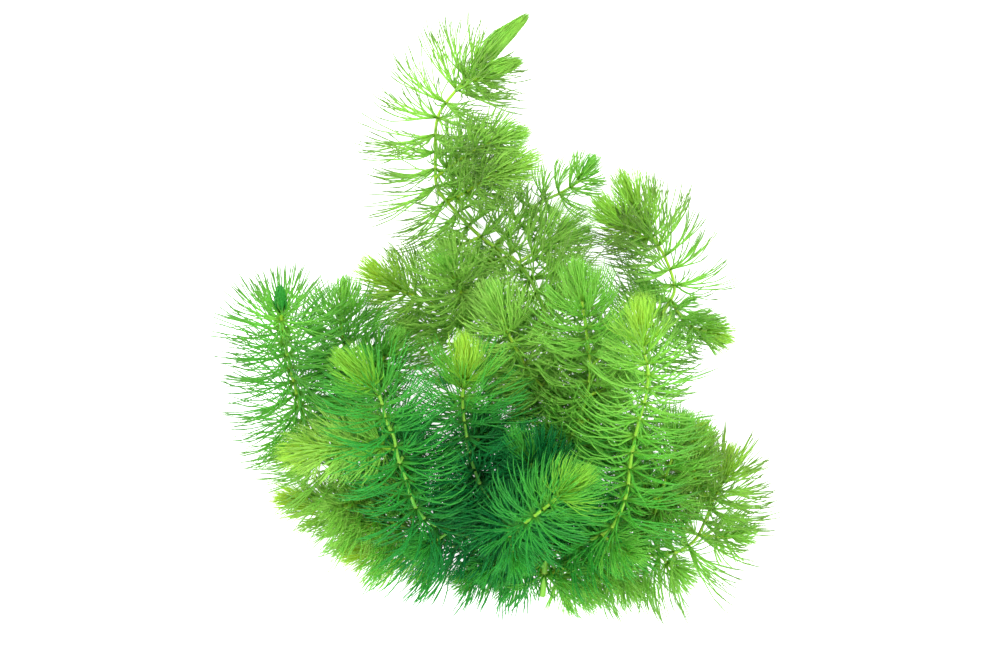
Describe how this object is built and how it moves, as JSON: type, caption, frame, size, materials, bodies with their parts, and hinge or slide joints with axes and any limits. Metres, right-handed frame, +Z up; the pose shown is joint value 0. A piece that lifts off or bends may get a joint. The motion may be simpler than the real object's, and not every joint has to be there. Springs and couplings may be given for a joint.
{
  "type": "hornwort",
  "caption": "Cut hornwort, a bushy water plant lying on its side: a branched stem, whorls of forked thread-like leaves and closed buds, to dress an aquarium or pond.",
  "frame": {"origin": "middle of the plant's plan box, on the surface that it lies on", "axes": "+Z up from that surface, +Y from the cut end of the main stem towards the top shoot, +X to the right seen from above"},
  "size_m": [0.1872, 0.1956, 0.0908],
  "materials": {
    "bright_green": "satin",
    "mid_green": "satin",
    "dark_green": "satin"
  },
  "bodies": {
    "root": {"main_stem_top": "mid_green", "side_shoot_top": "bright_green", "side_shoot_middle": "bright_green", "side_shoot_upper_middle": "bright_green", "branch_upper_middle": "mid_green", "branch_upper_right": "mid_green", "side_shoot_upper_right": "mid_green", "side_shoot_far_right": "mid_green", "branch_right": "bright_green", "branch_lower_right": "mid_green", "side_shoot_lower_right": "bright_green", "branch_right_inner": "mid_green", "branch_left": "mid_green", "branch_front": "bright_green", "side_shoot_front": "bright_green", "branch_back_left": "bright_green", "side_shoot_back": "dark_green", "branch_middle": "mid_green", "side_shoot_bottom": "bright_green", "branch_lower_left": "bright_green", "side_shoot_lower_left": "bright_green", "branch_back_right": "dark_green", "branch_centre_right": "mid_green", "branch_centre": "dark_green", "branch_centre_low": "dark_green", "branch_left_inner": "dark_green", "side_shoot_left_inner": "mid_green"}
  },
  "joints": []
}
